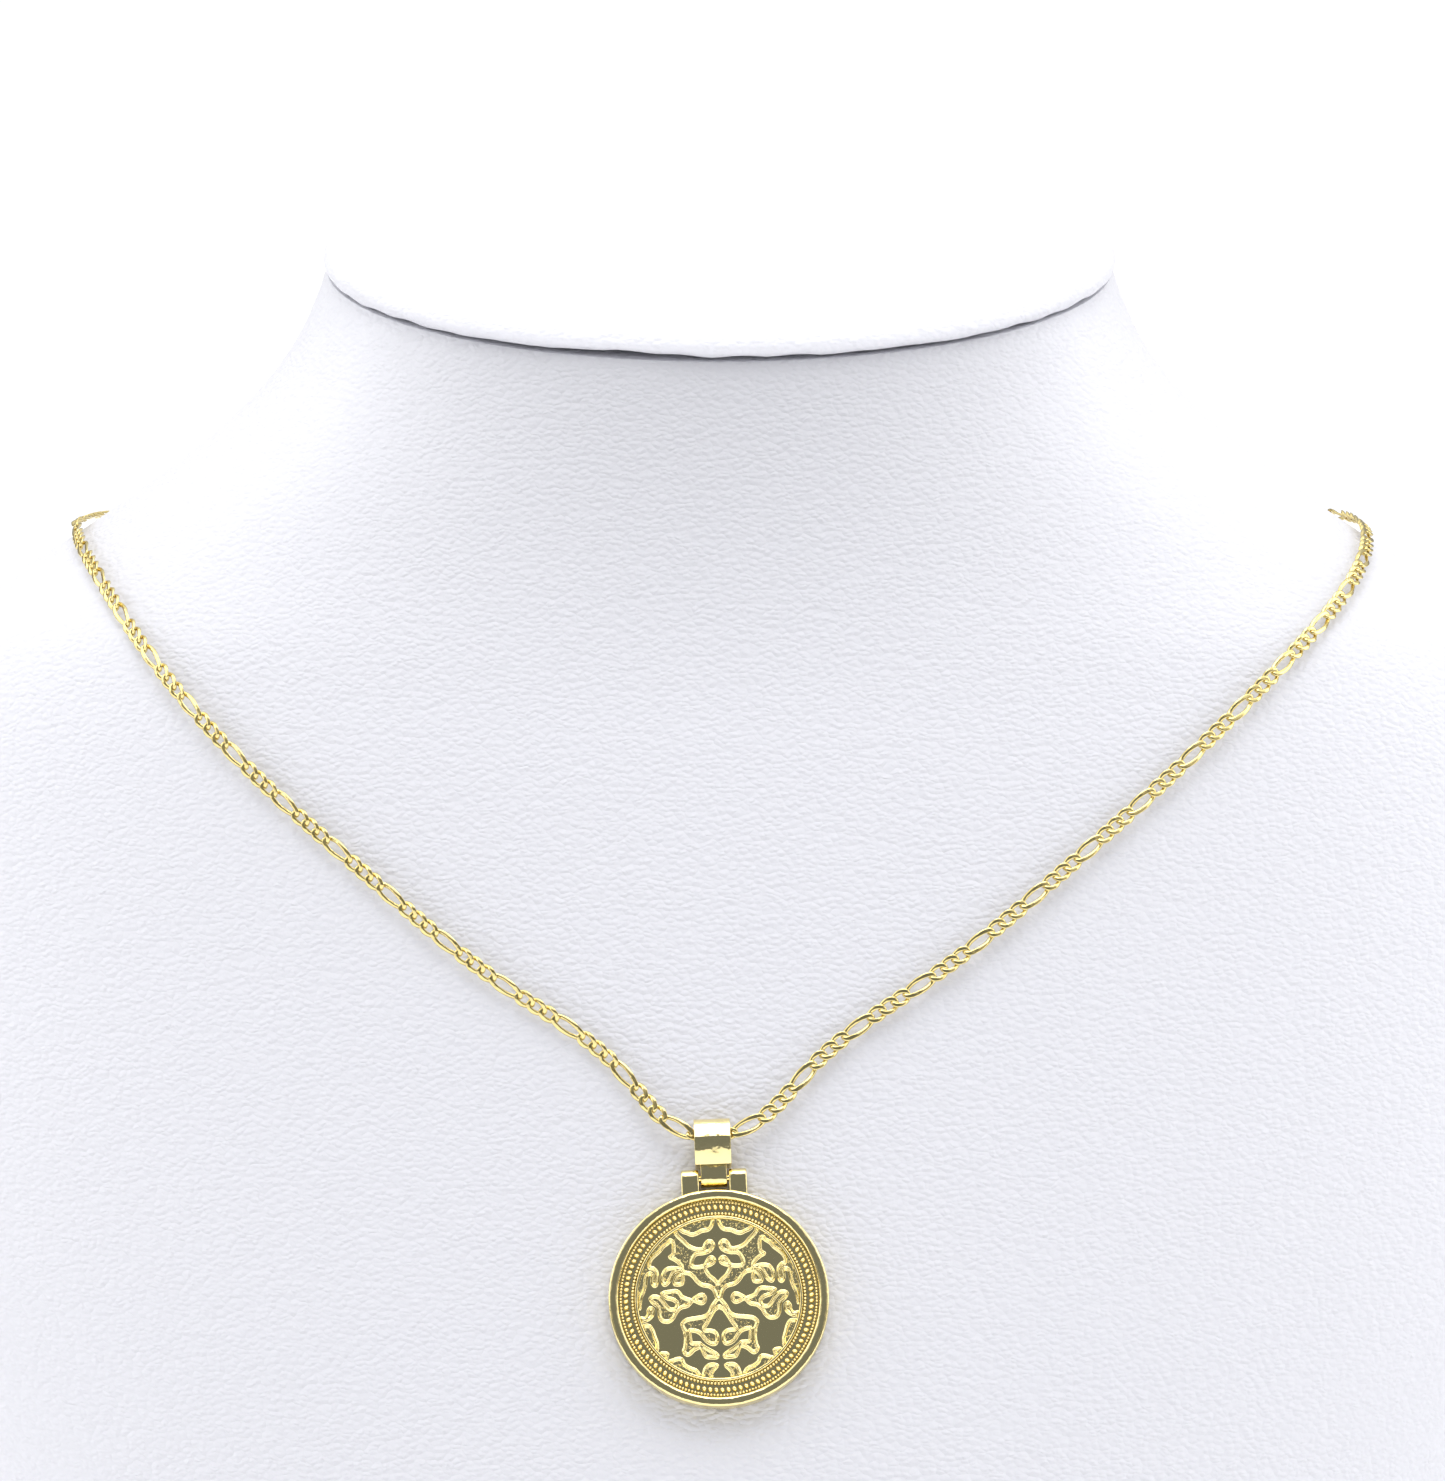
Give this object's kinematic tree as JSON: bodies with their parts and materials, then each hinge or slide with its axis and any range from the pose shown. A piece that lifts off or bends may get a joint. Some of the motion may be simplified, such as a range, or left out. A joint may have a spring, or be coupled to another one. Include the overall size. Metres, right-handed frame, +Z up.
{
  "type": "medallion pendant necklace on a neck bust",
  "caption": "Round gold-tone medallion pendant with raised scroll ornament and beaded rim, hinged to its bail on a figaro chain, worn by a white neck bust.",
  "frame": {"origin": "centre of the neck bust's flat base", "axes": "+Z up, -Y out of the front, +X to the right as seen from the front"},
  "size_m": [0.216, 0.13, 0.1752],
  "materials": {
    "gold_plate": "polished gold plate",
    "white_leatherette": "fine grained satin"
  },
  "bodies": {
    "worn_chain": {"neck_bust": "white_leatherette", "neck_cap": "white_leatherette", "chain": "gold_plate", "clasp": "gold_plate"},
    "bail": {"bail": "gold_plate"},
    "medallion": {"medallion": "gold_plate", "hinge_pin": "gold_plate"}
  },
  "joints": [
    {"name": "bail_swing", "type": "hinge", "parent": "worn_chain", "child": "bail", "pos_m": [-0.0008, -0.04084, 0.0662], "axis": [-0.9992, -0.0144, -0.0375], "range_deg": [0, 80]},
    {"name": "medallion_hinge", "type": "hinge", "parent": "bail", "child": "medallion", "pos_m": [-0.0006, -0.04199, 0.06124], "axis": [-0.9992, -0.0144, -0.0375], "range_deg": [0, 75]}
  ]
}
